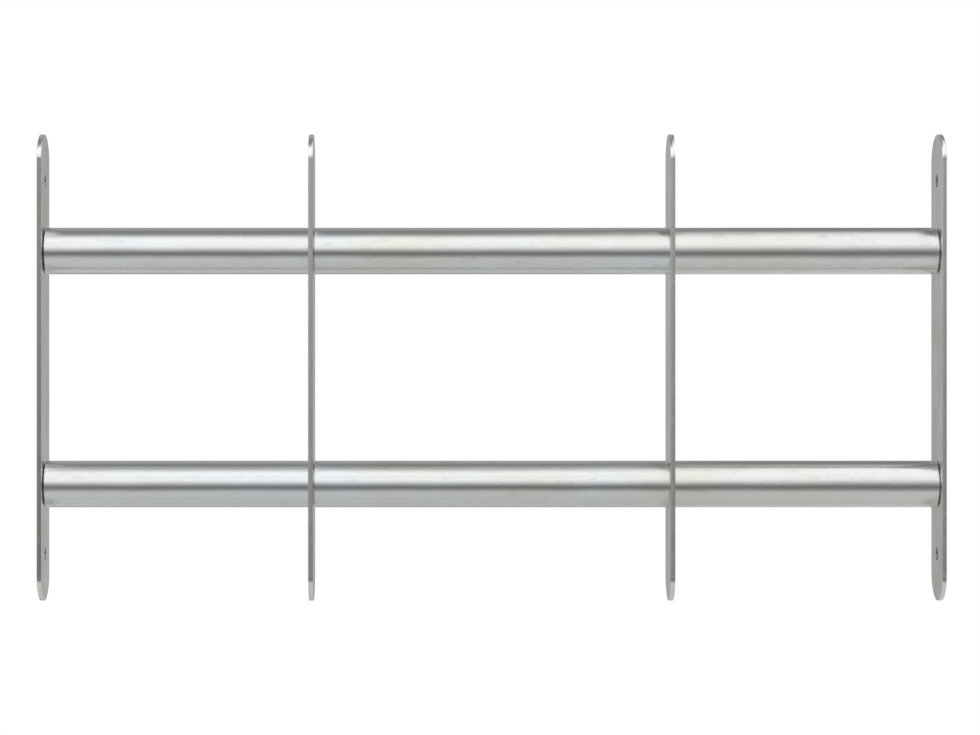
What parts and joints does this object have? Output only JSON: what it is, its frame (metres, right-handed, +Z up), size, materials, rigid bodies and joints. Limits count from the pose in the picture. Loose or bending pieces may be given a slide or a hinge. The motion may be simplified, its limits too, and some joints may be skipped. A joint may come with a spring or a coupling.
{
  "type": "telescopic window security bar",
  "caption": "Zinc-plated steel window bar of upright flats on two rows of round tube, drawn out sideways to fit the opening and locked by set screws.",
  "frame": {"origin": "middle of the closed bar: half way between the outer faces of the end flats, half the depth of the flats and half their height", "axes": "+X along the tubes, the way the right half draws out; +Y from the front edges of the flats to the back, where the set screws are; +Z up along the flats"},
  "size_m": [0.58, 0.04, 0.3],
  "materials": {
    "zinc_plated_flat": "zinc-plated hot-rolled flat, satin, faintly mottled",
    "zinc_plated_tube": "bright zinc-plated welded tube with fine lines along it",
    "bright_drawn_tube": "bright zinc-plated drawn tube, smoother than the outer tubes",
    "turned_plug_steel": "turned steel with fine rings",
    "zinc_plated_screw": "bright zinc-plated screw and nut steel"
  },
  "bodies": {
    "left_frame": {"end_bar_left": "zinc_plated_flat", "inner_bar_left": "zinc_plated_flat", "left_tube_upper": "zinc_plated_tube", "slide_tube_upper": "bright_drawn_tube", "end_plug_left_upper": "turned_plug_steel", "end_screw_left_upper": "zinc_plated_screw", "left_tube_lower": "zinc_plated_tube", "slide_tube_lower": "bright_drawn_tube", "end_plug_left_lower": "turned_plug_steel", "end_screw_left_lower": "zinc_plated_screw"},
    "right_frame": {"end_bar_right": "zinc_plated_flat", "inner_bar_right": "zinc_plated_flat", "centre_tube_upper": "zinc_plated_tube", "right_tube_upper": "zinc_plated_tube", "end_plug_right_upper": "turned_plug_steel", "end_screw_right_upper": "zinc_plated_screw", "lock_nut_upper": "zinc_plated_screw", "centre_tube_lower": "zinc_plated_tube", "right_tube_lower": "zinc_plated_tube", "end_plug_right_lower": "turned_plug_steel", "end_screw_right_lower": "zinc_plated_screw", "lock_nut_lower": "zinc_plated_screw"},
    "lock_screw_upper": {"lock_screw_upper": "zinc_plated_screw"},
    "lock_screw_lower": {"lock_screw_lower": "zinc_plated_screw"}
  },
  "joints": [
    {"name": "width_slide", "type": "slide", "parent": "left_frame", "child": "right_frame", "axis": [1, 0, 0], "range_m": [0, 0.15]},
    {"name": "upper_lock_screw_travel", "type": "slide", "parent": "right_frame", "child": "lock_screw_upper", "axis": [0, 1, 0], "range_m": [0, 0.002]},
    {"name": "lower_lock_screw_travel", "type": "slide", "parent": "right_frame", "child": "lock_screw_lower", "axis": [0, 1, 0], "range_m": [0, 0.002]}
  ]
}
